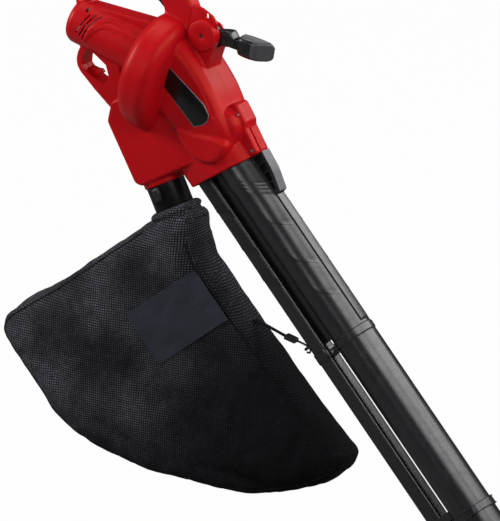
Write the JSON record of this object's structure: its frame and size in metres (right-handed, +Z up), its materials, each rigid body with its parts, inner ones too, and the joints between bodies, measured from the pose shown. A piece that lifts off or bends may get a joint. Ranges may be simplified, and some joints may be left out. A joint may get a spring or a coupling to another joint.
{
  "type": "electric leaf vacuum",
  "caption": "Hand-held electric leaf vacuum and blower: red motor and fan housing, two handles, black double tube with rollers and a fabric collecting bag.",
  "frame": {"origin": "middle of the main grip, on the parting plane of the housing", "axes": "+X forward, +Y to the user's left, +Z up; the tubes point forward and 49 degrees down"},
  "size_m": [1.2072, 0.2152, 1.1631],
  "materials": {
    "red_plastic": "satin moulded plastic",
    "black_plastic": "satin moulded plastic",
    "grey_soft_grip": "fine soft-touch",
    "bag_cloth": "coarse woven polyester",
    "slate_patch": "smooth coated",
    "steel": "bright",
    "motor_iron": "laminated",
    "copper": "wound wire",
    "white_plastic": "plain"
  },
  "bodies": {
    "root": {"bag_adapter": "black_plastic", "bag_collar": "bag_cloth", "bag_gusset": "bag_cloth", "bag_hook": "black_plastic", "bag_patch": "slate_patch", "bag_side_left": "bag_cloth", "bag_side_right": "bag_cloth", "bag_strap": "bag_cloth", "brush_holder_left": "white_plastic", "brush_holder_right": "white_plastic", "clamp_bolt": "steel", "fan_back_plate": "black_plastic", "field_stator": "motor_iron", "front_bearing": "steel", "front_blower_tube": "black_plastic", "front_suction_tube": "black_plastic", "grip_cover": "grey_soft_grip", "housing_left": "red_plastic", "housing_right": "red_plastic", "hub_disc": "red_plastic", "intake_duct": "black_plastic", "label_plate": "black_plastic", "power_inlet": "black_plastic", "rear_bearing": "steel", "rear_bearing_bracket": "black_plastic", "rear_tube": "black_plastic", "roller_axle": "steel", "roller_bracket": "black_plastic", "screw_loop": "steel", "screw_post": "steel", "screw_ridge": "steel", "screw_rim": "steel", "screw_spine": "steel", "screw_web": "steel", "speed_board": "white_plastic", "switch_module": "black_plastic", "trigger_pin": "steel", "tube_clip": "black_plastic", "tube_clip_screw": "steel"},
    "rotor": {"motor_shaft": "steel", "armature": "copper", "commutator": "copper", "cooling_fan": "black_plastic", "impeller": "black_plastic", "impeller_nut": "steel"},
    "trigger_body": {"trigger": "black_plastic"},
    "dial_body": {"speed_dial": "black_plastic"},
    "second_handle": {"aux_arm": "black_plastic", "aux_grip": "grey_soft_grip", "aux_grip_end": "grey_soft_grip"},
    "knob_body": {"clamp_knob": "black_plastic"},
    "changeover": {"changeover_flap": "black_plastic", "mode_lever": "black_plastic"},
    "release_button": {"adapter_button": "black_plastic"},
    "wheel_right": {"roller_right": "black_plastic"},
    "wheel_left": {"roller_left": "black_plastic"}
  },
  "joints": [
    {"name": "rotor_spin", "type": "hinge", "parent": "root", "child": "rotor", "pos_m": [0.0982, 0, -0.18762], "axis": [0.9563, 0, -0.2924], "continuous": true},
    {"name": "trigger_press", "type": "hinge", "parent": "root", "child": "trigger_body", "pos_m": [0.098, 0, -0.041], "axis": [0, 1, 0], "range_deg": [0, 6], "stiffness_Nm_per_rad": 1, "springref_deg": -5.73},
    {"name": "speed_turn", "type": "hinge", "parent": "root", "child": "dial_body", "pos_m": [0.069, 0, 0.007], "axis": [0, 1, 0], "range_deg": [0, 270]},
    {"name": "handle_tilt", "type": "hinge", "parent": "root", "child": "second_handle", "pos_m": [0.1904, 0, -0.107], "axis": [0, 1, 0], "range_deg": [-35, 2]},
    {"name": "clamp_turn", "type": "hinge", "parent": "root", "child": "knob_body", "pos_m": [0.1904, 0, -0.107], "axis": [0, 1, 0], "range_deg": [0, 270]},
    {"name": "mode_change", "type": "hinge", "parent": "root", "child": "changeover", "pos_m": [0.13068, 0, -0.38199], "axis": [0, 1, 0], "range_deg": [-110, 0]},
    {"name": "button_press", "type": "slide", "parent": "root", "child": "release_button", "axis": [0, 1, 0], "range_m": [0, 0.0025], "stiffness_N_per_m": 800, "springref_m": -0.002},
    {"name": "wheel_right_spin", "type": "hinge", "parent": "root", "child": "wheel_right", "pos_m": [0.71729, 0, -1.11625], "axis": [0, 1, 0], "continuous": true},
    {"name": "wheel_left_spin", "type": "hinge", "parent": "root", "child": "wheel_left", "pos_m": [0.71729, 0, -1.11625], "axis": [0, 1, 0], "continuous": true}
  ]
}
